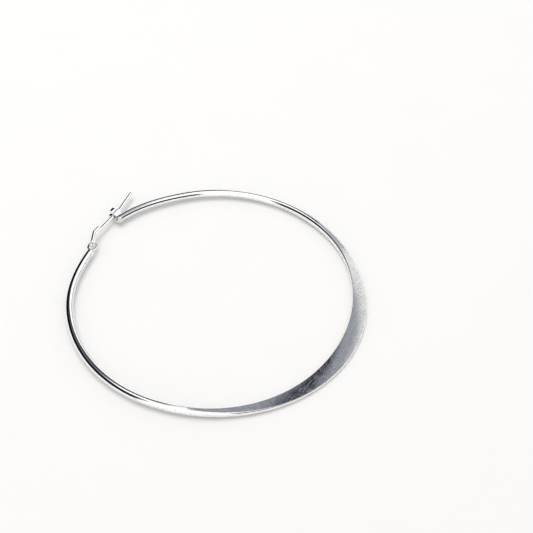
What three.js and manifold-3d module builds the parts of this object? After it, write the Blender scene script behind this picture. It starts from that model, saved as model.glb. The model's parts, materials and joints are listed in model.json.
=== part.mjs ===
// Large hoop earring: a forged wire hoop and its hinged ear wire.
// Millimetres, +Z up. The earring lies on the plane z = 0 with the clasp towards +Y
// and the crescent towards -Y; the origin is below the middle of the whole earring.
//
// The pieces are shaped in the plane of the hoop, z = 0 being the middle of its round wire
// and the origin the centre of its circle. Angles run anticlockwise from +X, and the clasp
// is at 90 degrees. The whole is then tipped by the small angle at which it lies by itself.

import * as THREE from 'three';
import { mergeVertices } from 'three/addons/utils/BufferGeometryUtils.js';
import Module from 'manifold-3d';

// Hoop wire
const hoopRadius = 29.15; // centre of the round wire
const wireDiameter = 1.63; // 14 gauge
const eyeEndAngle = 101.5; // degrees, where the wire meets the eye
const catchEndAngle = 80; // degrees, free end under the catch
const eyeEndLean = -0.55; // the eye end springs inwards
const catchEndLean = 0.7; // the catch end springs outwards
const leanSpan = 32; // degrees over which an end leans

// Forged crescent: round wire hammered flat, its underside kept level with the wire's
const crescentAngle = -85.5; // degrees, its widest place
const flatWidth = 3.25; // width of the flat face at the widest place
const flatFalloff = 3.8; // how fast the flat face narrows away from it
const flatReach = 109; // degrees to either side at which the flat face has ended
const outwardShift = 0.88; // how far the hammered metal has moved outwards
const outwardFalloff = 1.5;
const outwardReach = 80; // degrees to either side over which it has moved
const roundEdge = 0.3; // edge bulge against thickness at the widest place, 1 on round wire
const leastFlat = 0.04; // keeps the section's corners apart on round wire

// Eye at the end of the hoop, a pierced oval plate
const eyeTurn = 28; // degrees from +X to its long axis
const eyeThickness = 0.6;
const eyeHoleWidth = 1.25;
const eyeHoleLength = 1.6;
const eyeWall = 0.4;
const eyeOffset = 1.45; // from the end of the wire to the middle of the hole
const eyeRounding = 0.12;
const neckLength = 1.1;
const neckWidth = 1.3;

// Ear wire, 20 gauge
const earWireDiameter = 0.85;
const loopTurn = 33; // degrees from +X to the loop's long axis
const loopHalfHeight = 0.9; // from the middle plane to the middle of either arm
const loopLength = 3.3;
const loopArm = 1.7; // length of the arms before they close in
const loopBend = 0.7; // length that each bend of the loop takes from its runs
const returnLength = 1.9; // end of the loop, pressed back over the wire
const returnGap = 0.05;
const tailLength = 6.5;
const tailTurn = 13; // degrees from +X
const tailBend = 0.9;

// Catch: a strip folded to a U, open outwards, its lips flared
const catchCentre = new THREE.Vector2(6.1, 31.0); // middle of the ear wire inside it
const catchLength = 1.8; // along the ear wire
const catchThickness = 0.4;
const catchGap = 0.175; // between the ear wire and the strip
const lipStraight = 0.5; // from the middle of the ear wire to where the lips flare
const lipReach = 1.8; // from the middle of the ear wire to the tips of the lips
const lipTipLength = 0.9; // the lips narrow to this along the ear wire
const solderLength = 1.3; // along the hoop
const solderDepth = 0.6;
const solderHeight = 1.2;

const hoopStations = 84;
const sideFacets = 8; // around each rounded side of the hoop's section
const earWireHalfSides = 6; // the ear wire is a tube of twice as many sides
const earWireSteps = 110;

const wireRadius = wireDiameter / 2;
const earWireRadius = earWireDiameter / 2;
const wireArea = Math.PI * wireRadius ** 2;
const radians = THREE.MathUtils.degToRad;
const silver = { color: 0xdadbdd, metalness: 1, roughness: 0.08 };

// ---- plane helpers ----

function direction(degrees) {
  return new THREE.Vector2(Math.cos(radians(degrees)), Math.sin(radians(degrees)));
}

// A cosine hill: 1 in the middle, 0 at its reach and beyond.
function hill(away, reach, power) {
  return Math.cos((Math.PI / 2) * Math.min(Math.abs(away) / reach, 1)) ** power;
}

// ---- solids ----

const wasm = await Module();
wasm.setup();

function toSolid(geometry) {
  const bare = geometry.index ? geometry.toNonIndexed() : geometry.clone();
  for (const name of ['normal', 'uv']) bare.deleteAttribute(name);
  const merged = mergeVertices(bare, 1e-5);
  const vertProperties = new Float32Array(merged.attributes.position.array);
  const triVerts = new Uint32Array(merged.index.array);
  return new wasm.Manifold(new wasm.Mesh({ numProp: 3, vertProperties, triVerts }));
}

function toGeometry(solid) {
  const mesh = solid.getMesh();
  const geometry = new THREE.BufferGeometry();
  geometry.setAttribute('position', new THREE.BufferAttribute(mesh.vertProperties, 3));
  geometry.setIndex(new THREE.BufferAttribute(mesh.triVerts, 1));
  geometry.computeVertexNormals();
  return geometry;
}

// A closed skin over equal rings of points, each ring anticlockwise seen from the next.
function loftRings(rings) {
  const count = rings[0].length;
  const positions = rings.flat().flatMap((point) => [point.x, point.y, point.z]);
  const faces = [];
  for (let ring = 0; ring + 1 < rings.length; ring += 1) {
    for (let point = 0; point < count; point += 1) {
      const here = ring * count + point;
      const beside = ring * count + ((point + 1) % count);
      faces.push(here, beside, beside + count, here, beside + count, here + count);
    }
  }
  const last = (rings.length - 1) * count;
  for (let point = 1; point + 1 < count; point += 1) {
    faces.push(0, point + 1, point);
    faces.push(last, last + point, last + point + 1);
  }
  const geometry = new THREE.BufferGeometry();
  geometry.setAttribute('position', new THREE.Float32BufferAttribute(positions, 3));
  geometry.setIndex(faces);
  return geometry;
}

// ---- hoop ----

// Radius of the wire's centre line, with both ends sprung off the circle.
function centreRadius(degrees) {
  const pastEye = hill(degrees - eyeEndAngle, leanSpan, 2);
  const pastCatch = hill(degrees - (catchEndAngle + 360), leanSpan, 2);
  return hoopRadius + eyeEndLean * pastEye + catchEndLean * pastCatch;
}

// Section at an angle. Hammering keeps its area: as the flat face widens, the wire thins.
function hoopSection(degrees) {
  const away = degrees - (crescentAngle + 360);
  const spread = hill(away, flatReach, flatFalloff);
  const flat = Math.max(flatWidth * spread, leastFlat);
  const bulge = THREE.MathUtils.lerp(1, roundEdge, Math.sqrt(spread));
  const root = Math.sqrt(flat ** 2 + Math.PI * bulge * wireArea);
  const thickness = (root - flat) / ((Math.PI / 2) * bulge);
  const radius = centreRadius(degrees) + outwardShift * hill(away, outwardReach, outwardFalloff);
  return { flat, thickness, side: bulge * thickness, radius };
}

function hoopRing(degrees) {
  const { flat, thickness, side, radius } = hoopSection(degrees);
  const outward = direction(degrees);
  const ring = [];
  for (const half of [1, -1]) {
    for (let facet = 0; facet <= sideFacets; facet += 1) {
      const turn = Math.PI * (facet / sideFacets - 0.5);
      const across = half * (flat / 2 + (side / 2) * Math.cos(turn));
      const up = (half * thickness * Math.sin(turn)) / 2;
      const reach = radius + across;
      const height = thickness / 2 - wireRadius + up;
      ring.push(new THREE.Vector3(outward.x * reach, outward.y * reach, height));
    }
  }
  return ring.reverse();
}

function hoopWire() {
  const rings = [];
  const sweep = catchEndAngle + 360 - eyeEndAngle;
  for (let station = 0; station <= hoopStations; station += 1) {
    rings.push(hoopRing(eyeEndAngle + (sweep * station) / hoopStations));
  }
  return loftRings(rings);
}

const eyeAxis = direction(eyeTurn);
const eyeCentre = direction(eyeEndAngle)
  .multiplyScalar(centreRadius(eyeEndAngle))
  .addScaledVector(eyeAxis, eyeOffset);
// The ear wire turns about the middle of the rounded outer end of the hole.
const hinge = eyeCentre.clone().addScaledVector(eyeAxis, (eyeHoleLength - eyeHoleWidth) / 2);

// An oval with its long side along +X, centred on the origin.
function tracedOval(target, length, width) {
  const round = width / 2;
  const run = (length - width) / 2;
  target.moveTo(-run, -round);
  target.lineTo(run, -round);
  target.absarc(run, 0, round, -Math.PI / 2, Math.PI / 2, false);
  target.lineTo(-run, round);
  target.absarc(-run, 0, round, Math.PI / 2, 1.5 * Math.PI, false);
  return target;
}

function eyePlate() {
  const rim = 2 * (eyeWall - eyeRounding);
  const outline = tracedOval(new THREE.Shape(), eyeHoleLength + rim, eyeHoleWidth + rim);
  const edge = 2 * eyeRounding;
  outline.holes.push(tracedOval(new THREE.Path(), eyeHoleLength + edge, eyeHoleWidth + edge));
  const geometry = new THREE.ExtrudeGeometry(outline, {
    depth: eyeThickness - 2 * eyeRounding,
    bevelSize: eyeRounding,
    bevelThickness: eyeRounding,
    bevelSegments: 1,
    curveSegments: 10,
  });
  geometry.translate(0, 0, eyeRounding - eyeThickness / 2);
  geometry.rotateZ(radians(eyeTurn));
  geometry.translate(eyeCentre.x, eyeCentre.y, 0);
  return geometry;
}

// A short neck carries the eye plate out of the end of the wire.
function eyeNeck() {
  const neck = new THREE.BoxGeometry(neckLength, neckWidth, eyeThickness);
  neck.translate(-eyeOffset, 0, 0);
  neck.rotateZ(radians(eyeTurn));
  neck.translate(eyeCentre.x, eyeCentre.y, 0);
  return neck;
}

// ---- ear wire ----

// Straight runs joined by bends, each bend taking the given length from the runs beside it.
function bentPath(corners) {
  const path = new THREE.CurvePath();
  let from = corners[0].at;
  corners.slice(1, -1).forEach((corner, index) => {
    const before = corners[index].at;
    const after = corners[index + 2].at;
    const enter = corner.at.clone().add(before.clone().sub(corner.at).setLength(corner.bend));
    const leave = corner.at.clone().add(after.clone().sub(corner.at).setLength(corner.bend));
    path.add(new THREE.LineCurve3(from, enter));
    path.add(new THREE.QuadraticBezierCurve3(enter, corner.at, leave));
    from = leave;
  });
  path.add(new THREE.LineCurve3(from, corners.at(-1).at));
  return path;
}

const loopAxis = direction(loopTurn);
const shoulder = hinge.clone().addScaledVector(loopAxis, loopLength);
const runAxis = catchCentre.clone().sub(shoulder).normalize();

function onLoop(along, height) {
  const place = hinge.clone().addScaledVector(loopAxis, along);
  return new THREE.Vector3(place.x, place.y, height);
}

// From the tip of the tail, through the catch, round the loop and back over the wire.
function earWirePath() {
  const tailStart = catchCentre.clone().addScaledVector(runAxis, catchLength / 2);
  const tip = tailStart.clone().addScaledVector(direction(tailTurn), tailLength);
  const overWire = earWireDiameter + returnGap;
  const returnEnd = shoulder.clone().addScaledVector(runAxis, returnLength);
  return bentPath([
    { at: new THREE.Vector3(tip.x, tip.y, 0) },
    { at: new THREE.Vector3(tailStart.x, tailStart.y, 0), bend: tailBend },
    { at: new THREE.Vector3(shoulder.x, shoulder.y, 0), bend: loopBend },
    { at: onLoop(loopArm, -loopHalfHeight), bend: loopBend / 2 },
    { at: onLoop(0, -loopHalfHeight), bend: loopBend },
    { at: onLoop(0, loopHalfHeight), bend: loopBend },
    { at: onLoop(loopArm, loopHalfHeight), bend: loopBend / 2 },
    { at: new THREE.Vector3(shoulder.x, shoulder.y, overWire), bend: loopBend / 2 },
    { at: new THREE.Vector3(returnEnd.x, returnEnd.y, overWire) },
  ]);
}

function earWire() {
  const section = new THREE.Shape();
  section.absarc(0, 0, earWireRadius, 0, 2 * Math.PI, false);
  const ring = new THREE.Shape(section.getPoints(earWireHalfSides).slice(0, -1));
  return new THREE.ExtrudeGeometry(ring, { steps: earWireSteps, extrudePath: earWirePath() });
}

// ---- catch ----

// The U of the strip, across the ear wire: x is outwards, y is up, (0, 0) the ear wire.
function catchProfile(tipHeight) {
  const inner = earWireRadius + catchGap;
  const outer = inner + catchThickness;
  const profile = new THREE.Shape();
  profile.moveTo(lipStraight, outer);
  profile.lineTo(0, outer);
  profile.absarc(0, 0, outer, Math.PI / 2, 1.5 * Math.PI, false);
  profile.lineTo(lipStraight, -outer);
  profile.lineTo(lipReach, -tipHeight);
  profile.lineTo(lipReach, catchThickness - tipHeight);
  profile.lineTo(lipStraight, -inner);
  profile.lineTo(0, -inner);
  profile.absarc(0, 0, inner, 1.5 * Math.PI, Math.PI / 2, true);
  profile.lineTo(lipStraight, inner);
  profile.lineTo(lipReach, tipHeight - catchThickness);
  profile.lineTo(lipReach, tipHeight);
  return profile;
}

// The strip seen from above: its lips narrow towards their tips. x is outwards.
function catchOutline() {
  const wide = catchLength / 2;
  const narrow = lipTipLength / 2;
  const base = -2 * earWireDiameter;
  const outline = new THREE.Shape();
  outline.moveTo(base, -wide);
  outline.lineTo(lipStraight, -wide);
  outline.lineTo(lipReach, -narrow);
  outline.lineTo(lipReach, narrow);
  outline.lineTo(lipStraight, wide);
  outline.lineTo(base, wide);
  return outline;
}

function catchSolid(tipHeight) {
  const strip = new THREE.ExtrudeGeometry(catchProfile(tipHeight), {
    depth: 2 * catchLength,
    bevelEnabled: false,
    curveSegments: 10,
  });
  strip.translate(0, 0, -catchLength);
  strip.rotateX(Math.PI / 2);
  const blank = new THREE.ExtrudeGeometry(catchOutline(), {
    depth: 4 * tipHeight,
    bevelEnabled: false,
  });
  blank.translate(0, 0, -2 * tipHeight);
  const folded = toGeometry(toSolid(strip).intersect(toSolid(blank)));
  folded.rotateZ(runAxis.angle() + Math.PI / 2);
  folded.translate(catchCentre.x, catchCentre.y, 0);
  return toSolid(folded);
}

// Solder between the back of the catch and the hoop beside it.
function solder() {
  const hoopSurface = centreRadius(catchEndAngle + 360) + wireRadius;
  const touch = catchCentre.clone().normalize().multiplyScalar(hoopSurface);
  const bead = new THREE.SphereGeometry(0.5, 16, 10);
  bead.scale(solderLength, solderDepth, solderHeight);
  bead.translate(touch.x, touch.y, 0);
  return bead;
}

// ---- resting attitude ----

// The crescent's outer edge and the loop's lower arm both touch the surface, and the lips of
// the catch are flared until they touch it too.
const loopReach = loopHalfHeight + earWireRadius;
const loopPlace = hinge.y + loopAxis.y * loopBend;
const crescent = hoopSection(crescentAngle + 360);
const crescentEdge = crescent.radius + crescent.flat / 2;
const restTilt = Math.asin((loopReach - wireRadius) / (loopPlace + crescentEdge));
const lipPlace = catchCentre.y + lipReach;
const tipHeight = loopReach + (lipPlace - loopPlace) * Math.sin(restTilt);

function hoop() {
  const pieces = [eyePlate(), eyeNeck(), solder()].map(toSolid);
  let solid = toSolid(hoopWire()).add(catchSolid(tipHeight));
  for (const piece of pieces) solid = solid.add(piece);
  return toGeometry(solid);
}

function named(name, geometry) {
  const mesh = new THREE.Mesh(geometry, new THREE.MeshStandardMaterial(silver));
  mesh.name = name;
  return mesh;
}

const tilted = new THREE.Group();
tilted.add(named('hoop', hoop()), named('ear_wire', earWire()));
tilted.rotation.x = restTilt;

const earring = new THREE.Group();
earring.add(tilted);
earring.updateMatrixWorld(true);
const extent = new THREE.Box3().setFromObject(earring, true);
const middle = extent.getCenter(new THREE.Vector3());
tilted.position.set(-middle.x, -middle.y, -extent.min.z);

export default earring;
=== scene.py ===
"""A large silver hoop earring lying flat: a forged hoop with its eye and catch, and its
hinged ear wire.

The pieces are modelled in millimetres in the plane of the hoop: z = 0 is the middle of its
round wire, the origin is the centre of its circle, and the clasp is at 90 degrees. lay_down()
then takes each one to its place round the frame's hinge, in metres.
"""

import json
import math

import bmesh
import bpy
from mathutils import Matrix, Vector


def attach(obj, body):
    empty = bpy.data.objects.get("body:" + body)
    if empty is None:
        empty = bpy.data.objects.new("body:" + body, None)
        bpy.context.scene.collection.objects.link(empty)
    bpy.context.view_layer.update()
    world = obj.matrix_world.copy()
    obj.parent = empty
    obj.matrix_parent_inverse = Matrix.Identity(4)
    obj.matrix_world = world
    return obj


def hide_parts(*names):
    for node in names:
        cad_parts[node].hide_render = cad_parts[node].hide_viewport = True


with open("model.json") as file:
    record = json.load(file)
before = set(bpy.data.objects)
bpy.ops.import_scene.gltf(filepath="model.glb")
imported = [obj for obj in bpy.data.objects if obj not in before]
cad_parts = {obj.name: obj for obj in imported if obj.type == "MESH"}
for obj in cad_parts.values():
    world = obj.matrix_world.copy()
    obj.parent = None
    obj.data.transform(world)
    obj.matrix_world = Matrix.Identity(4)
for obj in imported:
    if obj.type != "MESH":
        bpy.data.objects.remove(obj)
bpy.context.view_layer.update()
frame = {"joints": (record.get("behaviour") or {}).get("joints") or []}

# Hoop wire, in millimetres and degrees
HOOP_RADIUS = 29.15
WIRE_DIAMETER = 1.63
EYE_END_ANGLE = 101.5
CATCH_END_ANGLE = 440
EYE_END_LEAN = -0.55
CATCH_END_LEAN = 0.7
LEAN_SPAN = 32
END_ROUNDING = 0.16

# Forged crescent
CRESCENT_ANGLE = 274.5
FLAT_WIDTH = 3.25
FLAT_FALLOFF = 3.8
FLAT_REACH = 109
OUTWARD_SHIFT = 0.88
OUTWARD_FALLOFF = 1.5
OUTWARD_REACH = 80
ROUND_EDGE = 0.3
LEAST_FLAT = 0.04
FLAT_BORDER = 0.02

# Eye
EYE_TURN = 28
EYE_THICKNESS = 0.6
EYE_HOLE_WIDTH = 1.25
EYE_HOLE_LENGTH = 1.6
EYE_WALL = 0.4
EYE_OFFSET = 1.45
EYE_ROUNDING = 0.13
NECK_LENGTH = 1.1
NECK_WIDTH = 1.3
NECK_HEIGHT = 1.15

# Ear wire
EAR_WIRE_DIAMETER = 0.85
LOOP_TURN = 33
LOOP_HALF_HEIGHT = 0.9
LOOP_LENGTH = 3.3
LOOP_ARM = 1.7
LOOP_BEND = 0.7
RETURN_LENGTH = 1.9
RETURN_GAP = 0.05
TAIL_LENGTH = 6.5
TAIL_TURN = 13
TAIL_BEND = 0.9

# Catch
CATCH_PLACE = Vector((6.1, 31.0, 0))
CATCH_LENGTH = 1.8
CATCH_THICKNESS = 0.4
CATCH_GAP = 0.175
FOLD_START = 0.1
LIP_TIP_HEIGHT = 1.355
CATCH_ROUNDING = 0.06
# The lips, drawn out from the fold, a bend to a row
LIP_BENDS = (
    # reach from the ear wire, rise above the fold, length along the ear wire
    (0.55, 0.13, 1.3),
    (1.1, 0.14, 1.0),
    (1.8, None, 0.75),  # the tip, at LIP_TIP_HEIGHT
)
SOLDER_LUMP = 0.45
SOLDER_UNEVENNESS = 0.22
SOLDER_SIZE = Vector((1.3, 0.6, 1.2))
END_SOLDER_SIZE = Vector((1.5, 1.9, 1.55))

# How finely the pieces are divided
HOOP_STATIONS = 300
HOOP_FACETS = 60
FLAT_COLUMNS = 6
EAR_WIRE_FACETS = 32
EYE_FACETS = 64
BEND_STEPS = 14
FOLD_STEPS = 20
ROUNDING_STEPS = 4

# Tolerances for picking vertices by their place
NEAR = 1e-4
DOUBLES = 1e-5

WIRE_RADIUS = WIRE_DIAMETER / 2
EAR_WIRE_RADIUS = EAR_WIRE_DIAMETER / 2
WIRE_AREA = math.pi * WIRE_RADIUS**2
MILLIMETRE = 0.001


# ---- the hoop's shape, worked out round its circle ----


def direction(degrees):
    """The unit vector in the plane at an angle from +X."""
    return Vector((math.cos(math.radians(degrees)), math.sin(math.radians(degrees)), 0))


def hill(away, reach, power):
    """A cosine hill: 1 in the middle, 0 at its reach and beyond."""
    return max(math.cos(math.pi / 2 * min(abs(away) / reach, 1)), 0) ** power


def lean(degrees):
    """How far the wire's centre line springs off its circle, towards either end."""
    at_eye = EYE_END_LEAN * hill(degrees - EYE_END_ANGLE, LEAN_SPAN, 2)
    return at_eye + CATCH_END_LEAN * hill(degrees - CATCH_END_ANGLE, LEAN_SPAN, 2)


def hoop_section(degrees):
    """Flat width, thickness, edge bulge and outward shift of the forged wire at an angle.

    Hammering keeps the area of the section: as its flat face widens, the wire thins."""
    away = degrees - CRESCENT_ANGLE
    spread = hill(away, FLAT_REACH, FLAT_FALLOFF)
    flat = max(FLAT_WIDTH * spread, LEAST_FLAT)
    bulge = 1 + (ROUND_EDGE - 1) * math.sqrt(spread)
    root = math.sqrt(flat**2 + math.pi * bulge * WIRE_AREA)
    thickness = (root - flat) / (math.pi / 2 * bulge)
    outward = lean(degrees) + OUTWARD_SHIFT * hill(away, OUTWARD_REACH, OUTWARD_FALLOFF)
    return flat, thickness, bulge, outward


EYE_AXIS = direction(EYE_TURN)
EYE_END = direction(EYE_END_ANGLE) * (HOOP_RADIUS + EYE_END_LEAN)
EYE_CENTRE = EYE_END + EYE_AXIS * EYE_OFFSET
HINGE = EYE_CENTRE + EYE_AXIS * (EYE_HOLE_LENGTH - EYE_HOLE_WIDTH) / 2
SHOULDER = HINGE + direction(LOOP_TURN) * LOOP_LENGTH
RUN_AXIS = (CATCH_PLACE - SHOULDER).normalized()
WIRE_END = direction(CATCH_END_ANGLE) * (HOOP_RADIUS + CATCH_END_LEAN)
SOLDERED_SURFACE = CATCH_PLACE.normalized() * (WIRE_END.length + WIRE_DIAMETER / 2)


# ---- modelling ----


def begin(name, primitive, **size):
    """Adds a primitive with nothing else selected, and opens it for editing, all selected."""
    bpy.ops.object.select_all(action="DESELECT")
    primitive(**size)
    piece = bpy.context.object
    piece.name = piece.data.name = name
    bpy.ops.object.transform_apply(location=True, rotation=True, scale=True)
    bpy.ops.object.mode_set(mode="EDIT")
    bpy.ops.mesh.select_all(action="SELECT")
    return piece


def choose(piece, test, kind="VERT"):
    """Selects the vertices, edges or faces, in edit mode, that pass the test."""
    bpy.ops.mesh.select_mode(type=kind)
    bpy.ops.mesh.select_all(action="DESELECT")
    mesh = bmesh.from_edit_mesh(piece.data)
    parts = {"VERT": mesh.verts, "EDGE": mesh.edges, "FACE": mesh.faces}[kind]
    for part in parts:
        part.select_set(test(part))
    mesh.select_flush_mode()
    bmesh.update_edit_mesh(piece.data)


def draw_out(offset):
    """Extrudes what is selected along the offset."""
    bpy.ops.mesh.extrude_region_move(TRANSFORM_OT_translate={"value": offset})


def round_off(axis, place, reach):
    """Closes the selected end ring with a rounded rim and a flat end."""
    sunk = 0
    scale = 1
    for step in range(1, ROUNDING_STEPS + 1):
        turn = math.pi / 2 * step / ROUNDING_STEPS
        depth = END_ROUNDING * math.sin(turn)
        size = 1 - END_ROUNDING / reach * (1 - math.cos(turn))
        draw_out(axis * (depth - sunk))
        bpy.ops.transform.resize(value=(size / scale,) * 3, center_override=place + axis * depth)
        sunk = depth
        scale = size
    bpy.ops.mesh.edge_face_add()


def use(piece, kind, **settings):
    """Adds a modifier and applies it."""
    bpy.context.view_layer.objects.active = piece
    modifier = piece.modifiers.new(kind.lower(), kind)
    for name, value in settings.items():
        setattr(modifier, name, value)
    bpy.ops.object.modifier_apply(modifier=modifier.name)


def close_up(piece, smooth_angle):
    """Merges doubles, turns the faces outwards, and shades the piece up to that angle."""
    bpy.ops.mesh.select_all(action="SELECT")
    bpy.ops.mesh.remove_doubles(threshold=DOUBLES)
    bpy.ops.mesh.normals_make_consistent(inside=False)
    bpy.ops.object.mode_set(mode="OBJECT")
    bpy.ops.object.shade_smooth_by_angle(angle=math.radians(smooth_angle))
    return piece


def set_in(piece, place, turn):
    """Turns a piece about its upright axis and puts it in its place in the plane."""
    bpy.ops.object.select_all(action="DESELECT")
    piece.select_set(True)
    bpy.context.view_layer.objects.active = piece
    piece.rotation_euler = (0, 0, math.radians(turn))
    piece.location = place
    bpy.ops.object.transform_apply(location=True, rotation=True, scale=True)
    return piece


def lay_down(piece):
    """Takes a finished piece from the plane of the hoop to its place round the hinge."""
    joint = frame["joints"][0]
    up = Vector(joint["axis"])
    tilt = math.atan2(-up.y, up.z)
    offset = Matrix.Rotation(tilt, 3, "X") @ (HINGE * MILLIMETRE)
    bpy.ops.object.select_all(action="DESELECT")
    piece.select_set(True)
    bpy.context.view_layer.objects.active = piece
    piece.scale = (MILLIMETRE,) * 3
    piece.rotation_euler = (tilt, 0, 0)
    piece.location = Vector(joint["pos_m"]) - offset
    bpy.ops.object.transform_apply(location=True, rotation=True, scale=True)
    return piece


def hoop_wire():
    """Round wire drawn out straight, hammered section by section, then bent to its circle."""
    sweep = CATCH_END_ANGLE - EYE_END_ANGLE
    length = HOOP_RADIUS * math.radians(sweep)
    half_facet = math.pi / HOOP_FACETS
    upright = Matrix.Rotation(math.pi / 2, 3, "Y") @ Matrix.Rotation(half_facet, 3, "Z")
    wire = begin(
        "hoop_wire",
        bpy.ops.mesh.primitive_circle_add,
        vertices=HOOP_FACETS,
        radius=WIRE_RADIUS,
        location=(-length / 2, 0, 0),
        rotation=upright.to_euler(),
    )
    flat_edge = WIRE_RADIUS * math.sin(half_facet)
    choose(wire, lambda edge: all(abs(v.co.y) < 1.01 * flat_edge for v in edge.verts), "EDGE")
    bpy.ops.mesh.subdivide(number_cuts=FLAT_COLUMNS - 1)
    bpy.ops.mesh.select_all(action="SELECT")
    for _ in range(HOOP_STATIONS):
        draw_out((length / HOOP_STATIONS, 0, 0))
    bpy.ops.mesh.select_mode(type="VERT")
    for station in range(HOOP_STATIONS + 1):
        hammer(wire, length, station, flat_edge)
    for side, degrees in ((-1, EYE_END_ANGLE), (1, CATCH_END_ANGLE)):
        end = side * length / 2
        choose(wire, lambda v: abs(v.co.x - end) < NEAR)
        round_off(Vector((side, 0, 0)), Vector((end, -hoop_section(degrees)[-1], 0)), WIRE_RADIUS)
    bpy.ops.object.mode_set(mode="OBJECT")
    reach = max(v.co.x for v in wire.data.vertices)
    use(wire, "SIMPLE_DEFORM", deform_method="BEND", deform_axis="Z", angle=2 * reach / HOOP_RADIUS)
    set_in(wire, (0, -HOOP_RADIUS, 0), 0)
    turned_from_bottom = (EYE_END_ANGLE + CATCH_END_ANGLE) / 2 - 270
    set_in(wire, (0, 0, 0), turned_from_bottom)
    bpy.ops.object.mode_set(mode="EDIT")
    return close_up(wire, 35)


def hammer(wire, length, station, flat_edge):
    """Shapes one section of the straight wire: y is towards the middle of the hoop."""
    along = station / HOOP_STATIONS
    degrees = EYE_END_ANGLE + (CATCH_END_ANGLE - EYE_END_ANGLE) * along
    flat, thickness, bulge, outward = hoop_section(degrees)
    centre = Vector((length * (along - 1 / 2), 0, 0))
    thinner = thickness / WIRE_DIAMETER
    narrower = bulge * thinner
    edge = flat_edge * narrower
    choose_section(wire, station, lambda y: True)
    bpy.ops.transform.resize(value=(1, narrower, thinner), center_override=centre)
    for side in (1, -1):
        choose_section(wire, station, lambda y: side * y > 0.99 * edge)
        bpy.ops.transform.translate(value=(0, side * flat / 2, 0))
    choose_section(wire, station, lambda y: abs(y) < 0.99 * edge)
    outermost = edge * (1 - 2 / FLAT_COLUMNS)
    wider = (edge + flat / 2) * (1 - FLAT_BORDER) / outermost
    bpy.ops.transform.resize(value=(1, wider, 1), center_override=centre)
    choose_section(wire, station, lambda y: True)
    bpy.ops.transform.translate(value=(0, -outward, thickness / 2 - WIRE_RADIUS))


def choose_section(wire, station, test):
    """Selects the vertices of one section, which were made together, by their place across."""
    count = HOOP_FACETS + 2 * (FLAT_COLUMNS - 1)
    bpy.ops.mesh.select_all(action="DESELECT")
    mesh = bmesh.from_edit_mesh(wire.data)
    mesh.verts.ensure_lookup_table()
    for number in range(station * count, (station + 1) * count):
        v = mesh.verts[number]
        if test(v.co.y):
            v.select_set(True)


def eye():
    """A pierced oval plate on a short neck, forged from the end of the wire."""
    neck = begin("eye_neck", bpy.ops.mesh.primitive_cube_add, size=1)
    bpy.ops.transform.resize(value=(NECK_LENGTH, NECK_WIDTH, EYE_THICKNESS))
    bpy.ops.transform.translate(value=(-EYE_OFFSET, 0, 0))
    choose(neck, lambda v: v.co.x < -EYE_OFFSET)
    bpy.ops.transform.resize(value=(1, 1, NECK_HEIGHT / EYE_THICKNESS))
    bpy.ops.mesh.select_all(action="SELECT")
    bpy.ops.mesh.bevel(offset=EYE_ROUNDING, segments=3)
    close_up(neck, 30)

    plate = begin(
        "eye",
        bpy.ops.mesh.primitive_cylinder_add,
        vertices=EYE_FACETS,
        radius=EYE_HOLE_WIDTH / 2 + EYE_WALL,
        depth=EYE_THICKNESS,
    )
    run = (EYE_HOLE_LENGTH - EYE_HOLE_WIDTH) / 2
    for side in (-1, 1):
        choose(plate, lambda v: side * v.co.x > (0 if side < 0 else -DOUBLES))
        bpy.ops.transform.translate(value=(side * run, 0, 0))
    choose(plate, lambda face: abs(face.normal.z) > 0.9, "FACE")
    bpy.ops.mesh.inset(thickness=EYE_WALL)
    bpy.ops.mesh.delete(type="FACE")
    choose(plate, lambda edge: edge.is_boundary, "EDGE")
    bpy.ops.mesh.bridge_edge_loops()
    bpy.ops.mesh.select_all(action="SELECT")
    bpy.ops.mesh.normals_make_consistent(inside=False)
    choose(plate, lambda edge: edge.calc_face_angle(0) > math.radians(60), "EDGE")
    bpy.ops.mesh.bevel(offset=EYE_ROUNDING, segments=4)
    bpy.ops.object.mode_set(mode="OBJECT")
    use(plate, "BOOLEAN", operation="UNION", object=neck)
    bpy.data.objects.remove(neck)
    bpy.ops.object.mode_set(mode="EDIT")
    close_up(plate, 20)
    return set_in(plate, EYE_CENTRE, EYE_TURN)


def catch():
    """A strip folded to a U round the ear wire, open outwards, with flared narrower lips."""
    fold = EAR_WIRE_RADIUS + CATCH_GAP + CATCH_THICKNESS / 2
    tip = LIP_TIP_HEIGHT - CATCH_THICKNESS / 2
    outwards = math.degrees(math.atan2(RUN_AXIS.y, RUN_AXIS.x)) + 90
    strip = begin("catch", bpy.ops.mesh.primitive_plane_add, size=1)
    bpy.ops.transform.resize(value=(FOLD_START, CATCH_LENGTH, 1))
    bpy.ops.transform.translate(value=(FOLD_START / 2, 0, fold))
    choose(strip, lambda v: v.co.x < FOLD_START / 2)
    bpy.ops.mesh.spin(steps=FOLD_STEPS, angle=math.pi, center=(0, 0, 0), axis=(0, 1, 0))
    draw_out((FOLD_START, 0, 0))
    for side in (1, -1):
        choose(strip, lambda v: v.co.x > FOLD_START / 2 and side * v.co.z > 0)
        reach = FOLD_START
        height = fold
        width = CATCH_LENGTH
        for next_reach, rise, next_width in LIP_BENDS:
            next_height = tip if rise is None else fold + rise
            draw_out((next_reach - reach, 0, side * (next_height - height)))
            bpy.ops.transform.resize(value=(1, next_width / width, 1))
            reach, height, width = next_reach, next_height, next_width
    bpy.ops.mesh.select_all(action="SELECT")
    bpy.ops.mesh.remove_doubles(threshold=DOUBLES)
    bpy.ops.mesh.normals_make_consistent(inside=False)
    bpy.ops.object.mode_set(mode="OBJECT")
    use(strip, "SOLIDIFY", thickness=CATCH_THICKNESS, offset=0, use_even_offset=True)
    square = math.radians(50)
    use(strip, "BEVEL", width=CATCH_ROUNDING, segments=3, limit_method="ANGLE", angle_limit=square)
    bpy.ops.object.mode_set(mode="EDIT")
    close_up(strip, 12)
    return set_in(strip, CATCH_PLACE, outwards)


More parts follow.
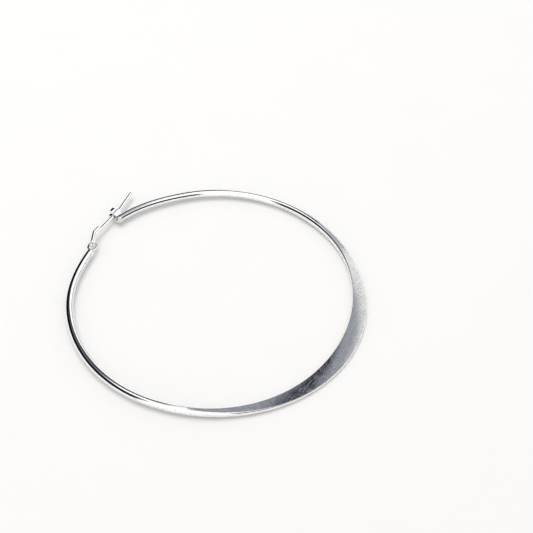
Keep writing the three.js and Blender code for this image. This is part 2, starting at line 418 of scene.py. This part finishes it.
def solder(name, place, size):
    """A lumpy bead of solder."""
    bead = begin(name, bpy.ops.mesh.primitive_uv_sphere_add, segments=40, ring_count=24)
    bpy.ops.transform.resize(value=size / 2)
    bpy.ops.object.mode_set(mode="OBJECT")
    lumps = bpy.data.textures.new("solder lumps", "CLOUDS")
    lumps.noise_scale = SOLDER_LUMP
    use(bead, "DISPLACE", texture=lumps, texture_coords="LOCAL", strength=SOLDER_UNEVENNESS)
    bpy.ops.object.mode_set(mode="EDIT")
    close_up(bead, 60)
    return set_in(bead, place, 0)


def ear_wire():
    """Bent from one wire: tail, run through the catch, and the loop through the eye."""
    loop_axis = direction(LOOP_TURN)
    up = Vector((0, 0, 1))
    tail_start = CATCH_PLACE + RUN_AXIS * CATCH_LENGTH / 2
    tail_tip = tail_start + direction(TAIL_TURN) * (TAIL_LENGTH - END_ROUNDING)
    over = up * (EAR_WIRE_DIAMETER + RETURN_GAP)
    high = up * LOOP_HALF_HEIGHT
    corners = [
        (tail_tip, 0),
        (tail_start, TAIL_BEND),
        (SHOULDER, LOOP_BEND),
        (HINGE + loop_axis * LOOP_ARM - high, LOOP_BEND / 2),
        (HINGE - high, LOOP_BEND),
        (HINGE + high, LOOP_BEND),
        (SHOULDER + over, LOOP_BEND / 2),
        (SHOULDER + over + RUN_AXIS * (RETURN_LENGTH - END_ROUNDING), 0),
    ]
    first_run = (tail_start - tail_tip).normalized()
    wire = begin(
        "ear_wire_bent",
        bpy.ops.mesh.primitive_circle_add,
        vertices=EAR_WIRE_FACETS,
        radius=EAR_WIRE_RADIUS,
        location=tail_tip,
        rotation=first_run.to_track_quat("Z", "Y").to_euler(),
    )
    place = tail_tip
    for (before, _), (corner, bend), (after, _) in zip(corners, corners[1:], corners[2:]):
        came = (corner - before).normalized()
        goes = (after - corner).normalized()
        turn = came.angle(goes)
        enter = corner - came * bend
        draw_out(enter - place)
        bend_radius = bend / math.tan(turn / 2)
        axis = came.cross(goes).normalized()
        centre = enter + axis.cross(came) * bend_radius
        bpy.ops.mesh.spin(steps=BEND_STEPS, angle=-turn, center=centre, axis=axis)
        place = corner + goes * bend
    draw_out(corners[-1][0] - place)
    round_off(RUN_AXIS, corners[-1][0], EAR_WIRE_RADIUS)
    choose(wire, lambda v: abs((v.co - tail_tip).dot(first_run)) < NEAR)
    round_off(-first_run, tail_tip, EAR_WIRE_RADIUS)
    return close_up(wire, 35)


# ---- node groups ----


class Nodes:
    """Adds nodes to one tree and links them, in a line each."""

    def __init__(self, tree):
        self.tree = tree

    def add(self, kind, inputs=(), **settings):
        """A node with its settings, its inputs given in order as values or as sockets."""
        made = self.tree.nodes.new("ShaderNode" + kind)
        for name, value in settings.items():
            setattr(made, name, value)
        self.feed(made, dict(enumerate(inputs)))
        return made

    def feed(self, made, inputs):
        for key, value in inputs.items():
            if value is None:
                continue
            if isinstance(value, bpy.types.NodeSocket):
                self.tree.links.new(value, made.inputs[key])
            else:
                made.inputs[key].default_value = value

    def math(self, operation, *values):
        return self.add("Math", values, operation=operation).outputs[0]

    def noise(self, place, scale, detail=2, roughness=0.5):
        made = self.add("TexNoise")
        self.feed(made, {"Vector": place, "Scale": scale, "Detail": detail, "Roughness": roughness})
        return made.outputs["Fac"]

    def ramp(self, value, low, high, to_low=0, to_high=1):
        """Eases a value from to_low at low to to_high at high."""
        made = self.add("MapRange", (value, low, high, to_low, to_high))
        made.interpolation_type = "SMOOTHSTEP"
        return made.outputs[0]

    def mix(self, amount, first, second):
        made = self.add("Mix", data_type="RGBA")
        self.feed(made, {0: amount, 6: first, 7: second})
        return made.outputs[2]


def new_group(name, inputs, outputs):
    """An empty group with its sockets, and the ends to wire it between."""
    tree = bpy.data.node_groups.new(name, "ShaderNodeTree")
    for socket, (kind, value) in inputs.items():
        made = tree.interface.new_socket(socket, in_out="INPUT", socket_type="NodeSocket" + kind)
        if value is not None:
            made.default_value = value
    for socket, kind in outputs.items():
        tree.interface.new_socket(socket, in_out="OUTPUT", socket_type="NodeSocket" + kind)
    given = tree.nodes.new("NodeGroupInput").outputs
    ends = tree.nodes.new("NodeGroupOutput")
    return tree, Nodes(tree), given, ends


# Hairlines: one family of scratches to a row
HAIRLINES = (
    # turn in degrees, fineness across, place in the noise
    (24, 2.6, 3.1),
    (-38, 1.7, 11.7),
    (81, 2.6, 23.9),
    (-9, 3.1, 37.3),
)
HAIRLINE_STRETCH = 0.14
HAIRLINE_WIDTH = 0.012

# The rest of the wear, by how many of each there are to a millimetre
WAVES_PER_MM = 0.33
GRAINS_PER_MM = 3.2
CLOUDS_PER_MM = 0.55
SPECKLES_PER_MM = 2.3


def hairlines(nodes, place, turn, fineness, seed):
    """Long fine scratches that run one way and come and go."""
    mapping = nodes.add("Mapping", (place,))
    mapping.inputs["Location"].default_value = (seed, -seed, 0)
    mapping.inputs["Rotation"].default_value = (0, 0, math.radians(turn))
    mapping.inputs["Scale"].default_value = (HAIRLINE_STRETCH, fineness, 0.5)
    field = nodes.noise(mapping.outputs[0], 1.0, 1)
    off_line = nodes.math("ABSOLUTE", nodes.math("SUBTRACT", field, 0.5))
    line = nodes.ramp(off_line, 0, HAIRLINE_WIDTH, 1, 0)
    patches = nodes.ramp(nodes.noise(mapping.outputs[0], 0.9, 2), 0.5, 0.62)
    return nodes.math("MULTIPLY", line, patches)


def worn_polish():
    """What handling leaves on polished silver: slow waves, grain, hairlines and hazed specks.

    Place and Height are in millimetres."""
    inputs = {
        "Place": ("Vector", None),
        "Waviness": ("Float", 0.003),
        "Grain": ("Float", 0.0006),
        "Scratches": ("Float", 0.0015),
        "Gloss": ("Float", 0.07),
        "Haze": ("Float", 0.08),
    }
    outputs = {"Height": "Float", "Roughness": "Float", "Cloudiness": "Float"}
    tree, nodes, given, ends = new_group("worn polish", inputs, outputs)
    place = given["Place"]
    waves = nodes.math("MULTIPLY", nodes.noise(place, WAVES_PER_MM, 1), given["Waviness"])
    grain = nodes.math("MULTIPLY", nodes.noise(place, GRAINS_PER_MM, 3, 0.65), given["Grain"])
    marks = hairlines(nodes, place, *HAIRLINES[0])
    for family in HAIRLINES[1:]:
        marks = nodes.math("MAXIMUM", marks, hairlines(nodes, place, *family))
    cut = nodes.math("MULTIPLY", marks, given["Scratches"])
    height = nodes.math("SUBTRACT", nodes.math("ADD", waves, grain), cut)
    cloud = nodes.ramp(nodes.noise(place, CLOUDS_PER_MM, 4, 0.6), 0.4, 0.72)
    speckle = nodes.ramp(nodes.noise(place, SPECKLES_PER_MM, 2, 0.6), 0.47, 0.66)
    worn = nodes.math("ADD", nodes.math("ADD", cloud, marks), speckle)
    haze = nodes.math("MULTIPLY", worn, given["Haze"])
    nodes.feed(
        ends,
        {
            "Height": height,
            "Roughness": nodes.math("ADD", given["Gloss"], haze),
            "Cloudiness": nodes.math("MAXIMUM", nodes.math("MULTIPLY", cloud, 0.5), speckle),
        },
    )
    return tree


# ---- materials ----

CLEAN_SILVER = (0.96, 0.955, 0.945)
WORN_SILVER = (0.78, 0.78, 0.79)
FAINTLY_WORN_SILVER = (0.86, 0.86, 0.865)
CREAMY_SOLDER = (0.9, 0.89, 0.86)
GREY_SOLDER = (0.7, 0.68, 0.64)
FORGED_WEAR = {
    "Waviness": 0.0012,
    "Grain": 0.0008,
    "Scratches": 0.0003,
    "Gloss": 0.02,
    "Haze": 0.03,
}
DRAWN_WEAR = {"Waviness": 0.002, "Grain": 0.0005, "Gloss": 0.03, "Haze": 0.04}
SOLDER_WEAR = {"Grain": 0.02, "Gloss": 0.2, "Haze": 0.25}


def in_millimetres(nodes):
    """Object coordinates, scaled from metres to millimetres."""
    mapping = nodes.add("Mapping", (nodes.add("TexCoord").outputs["Object"],))
    mapping.inputs["Scale"].default_value = (1 / MILLIMETRE,) * 3
    return mapping.outputs[0]


def silver(name, group, clean, hazed, **wear):
    """Polished silver: bright where it is clean, duller where it is hazed."""
    material = bpy.data.materials.new(name)
    material.use_nodes = True
    nodes = Nodes(material.node_tree)
    shader = material.node_tree.nodes["Principled BSDF"]
    polish = nodes.add("Group", node_tree=group)
    nodes.feed(polish, {"Place": in_millimetres(nodes), **wear})
    bump = nodes.add("Bump")
    nodes.feed(bump, {"Strength": 1, "Distance": MILLIMETRE, "Height": polish.outputs["Height"]})
    colour = nodes.mix(polish.outputs["Cloudiness"], (*clean, 1), (*hazed, 1))
    nodes.feed(
        shader,
        {
            "Base Color": colour,
            "Metallic": 1,
            "Roughness": polish.outputs["Roughness"],
            "Normal": bump.outputs[0],
        },
    )
    return material


def white_paper():
    """Smooth white paper with a very faint unevenness."""
    material = bpy.data.materials.new("white paper")
    material.use_nodes = True
    nodes = Nodes(material.node_tree)
    fibres = nodes.noise(in_millimetres(nodes), 0.06, 3)
    shader = material.node_tree.nodes["Principled BSDF"]
    colour = nodes.mix(fibres, (0.89, 0.885, 0.88, 1), (0.91, 0.905, 0.9, 1))
    nodes.feed(shader, {"Base Color": colour, "Roughness": 0.95, "Specular IOR Level": 0.1})
    return material


# ---- the studio ----

# The studio's back wall is the way the camera looks, and its directions are told from there:
# degrees to the right of the back, and degrees up.
CAMERA_AZIMUTH = -56.56
CAMERA_ELEVATION = 47.42
CAMERA_ROLL = -0.06
CAMERA_DISTANCE = 0.1863
CAMERA_LENS = 59.48
CAMERA_AIM = Vector((0.01237, -0.005466, 0))

# Screens and cards that the silver mirrors: the direction and half size of each in degrees,
# how soft its rim is, and its brightness in red, green and blue.
SCREENS = (
    # right, wide, up, tall, soft, colour
    (52, 46, 69, 8, 3, (0.42, 0.46, 0.53)),
    (-66, 58, 55, 5, 3, (0.13, 0.14, 0.18)),
    (-67, 65, 30, 22, 4, (0.003, 0.004, 0.007)),
    (60, 45, 6, 8, 2, (0.25, 0.27, 0.28)),
    (0, 11, 42, 12, 4, (0.03, 0.034, 0.042)),
    (11, 3.5, 46.7, 4.2, 0.5, (0.45, 0.46, 0.49)),
    (3.2, 7.2, 54.6, 4, 0.3, (0.31, 0.325, 0.375)),
    (8.2, 0.52, 53.9, 1.6, 0.2, (0.0, 0.001, 0.01)),
    (135, 35, 29, 22, 5, (0.006, 0.007, 0.01)),
)
OPEN_SKY = (1.25, 1.25, 1.25)
PALE_ROOM = (0.79, 0.78, 0.765)

# The lamp that casts the soft shadow, from degrees to the right of the back and degrees up
KEY_FROM = (-30, 70)
KEY_DISTANCE = 0.8
KEY_SIZE = 0.6
KEY_POWER = 2.4
KEY_COLOUR = (0.97, 0.99, 1.0)
FLOOR_SIZE = 4


def studio_direction(right, up):
    """A direction, told from the studio's back wall, in the frame."""
    turn = math.radians(CAMERA_AZIMUTH - right)
    flat = Vector((-math.sin(turn), math.cos(turn), 0))
    return flat * math.cos(math.radians(up)) + Vector((0, 0, math.sin(math.radians(up))))


def camera():
    """Looks down on the hoop over its crescent's left shoulder."""
    back = -studio_direction(0, -CAMERA_ELEVATION)
    data = bpy.data.cameras.new("camera")
    data.lens = CAMERA_LENS
    data.clip_start = CAMERA_DISTANCE / 50
    made = bpy.data.objects.new("camera", data)
    bpy.context.scene.collection.objects.link(made)
    made.rotation_mode = "QUATERNION"
    roll = Matrix.Rotation(math.radians(CAMERA_ROLL), 3, "Z").to_quaternion()
    made.rotation_quaternion = (-back).to_track_quat("-Z", "Y") @ roll
    made.location = CAMERA_AIM + back * CAMERA_DISTANCE
    bpy.context.scene.camera = made


def screen_group():
    """How much of a screen is seen in a direction, from that direction's bearing and height."""
    inputs = {
        "Bearing": ("Float", 0.0),
        "Height": ("Float", 0.0),
        "Right": ("Float", 0.0),
        "Wide": ("Float", 10.0),
        "Up": ("Float", 0.0),
        "Tall": ("Float", 10.0),
        "Soft": ("Float", 5.0),
    }
    tree, nodes, given, ends = new_group("studio screen", inputs, {"Seen": "Float"})
    seen = []
    for value, middle, half in (("Bearing", "Right", "Wide"), ("Height", "Up", "Tall")):
        away = nodes.math("ABSOLUTE", nodes.math("SUBTRACT", given[value], given[middle]))
        inner = nodes.math("SUBTRACT", given[half], given["Soft"])
        outer = nodes.math("ADD", given[half], given["Soft"])
        seen.append(nodes.ramp(away, inner, outer, 1, 0))
    nodes.feed(ends, {"Seen": nodes.math("MULTIPLY", *seen)})
    return tree


def studio_light():
    """A white studio with dark screens. Only the silver mirrors them; the paper is lit evenly."""
    world = bpy.data.worlds.new("studio")
    bpy.context.scene.world = world
    world.use_nodes = True
    nodes = Nodes(world.node_tree)
    background = world.node_tree.nodes["Background"]
    where = nodes.add("TexCoord").outputs["Generated"]
    along = []
    for axis in (studio_direction(90, 0), studio_direction(0, 0), Vector((0, 0, 1))):
        along.append(nodes.add("VectorMath", (where, axis), operation="DOT_PRODUCT").outputs["Value"])
    to_right, to_back, upwards = along
    bearing = nodes.math("DEGREES", nodes.math("ARCTAN2", to_right, to_back))
    height = nodes.math("DEGREES", nodes.math("ARCSINE", upwards))
    group = screen_group()
    colour = (*OPEN_SKY, 1)
    for right, wide, up, tall, soft, tint in SCREENS:
        screen = nodes.add("Group", node_tree=group)
        given = {"Right": right, "Wide": wide, "Up": up, "Tall": tall, "Soft": soft}
        nodes.feed(screen, {"Bearing": bearing, "Height": height, **given})
        colour = nodes.mix(screen.outputs["Seen"], colour, (*tint, 1))
    mirrored = nodes.add("LightPath").outputs["Is Glossy Ray"]
    seen = nodes.mix(mirrored, (*PALE_ROOM, 1), colour)
    world.node_tree.links.new(seen, background.inputs["Color"])
    bpy.context.scene.view_settings.view_transform = "Standard"


def key_light():
    """A wide soft lamp high at the back left. It lights the paper and isn't mirrored."""
    data = bpy.data.lights.new("key", "AREA")
    data.shape = "DISK"
    data.size = KEY_SIZE
    data.energy = KEY_POWER
    data.color = KEY_COLOUR
    lamp = bpy.data.objects.new("key", data)
    lamp.visible_glossy = False
    towards = studio_direction(*KEY_FROM)
    lamp.location = towards * KEY_DISTANCE
    lamp.rotation_euler = towards.to_track_quat("Z", "Y").to_euler()
    bpy.context.scene.collection.objects.link(lamp)


def floor():
    """The white paper that the earring lies on."""
    bpy.ops.object.select_all(action="DESELECT")
    bpy.ops.mesh.primitive_plane_add(size=FLOOR_SIZE)
    made = bpy.context.object
    made.name = "floor"
    made.data.materials.append(white_paper())


# ---- the earring ----


def fit(piece, body, material, stands_for=None):
    """Lays a finished piece down on its body, with its finish."""
    lay_down(piece)
    piece.data.materials.clear()
    piece.data.materials.append(material)
    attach(piece, body)
    if stands_for:
        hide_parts(stands_for)


polish = worn_polish()
forged = silver("forged silver", polish, CLEAN_SILVER, WORN_SILVER, **FORGED_WEAR)
drawn = silver("drawn silver wire", polish, CLEAN_SILVER, FAINTLY_WORN_SILVER, **DRAWN_WEAR)
soldered = silver("soldered silver", polish, CREAMY_SOLDER, GREY_SOLDER, **SOLDER_WEAR)

fit(hoop_wire(), "hoop", forged, "hoop")
fit(eye(), "hoop", drawn)
fit(catch(), "hoop", drawn)
fit(solder("catch_solder", SOLDERED_SURFACE, SOLDER_SIZE), "hoop", soldered)
fit(solder("end_solder", WIRE_END, END_SOLDER_SIZE), "hoop", soldered)
fit(ear_wire(), "ear_wire", drawn, "ear_wire")
floor()
camera()
studio_light()
key_light()
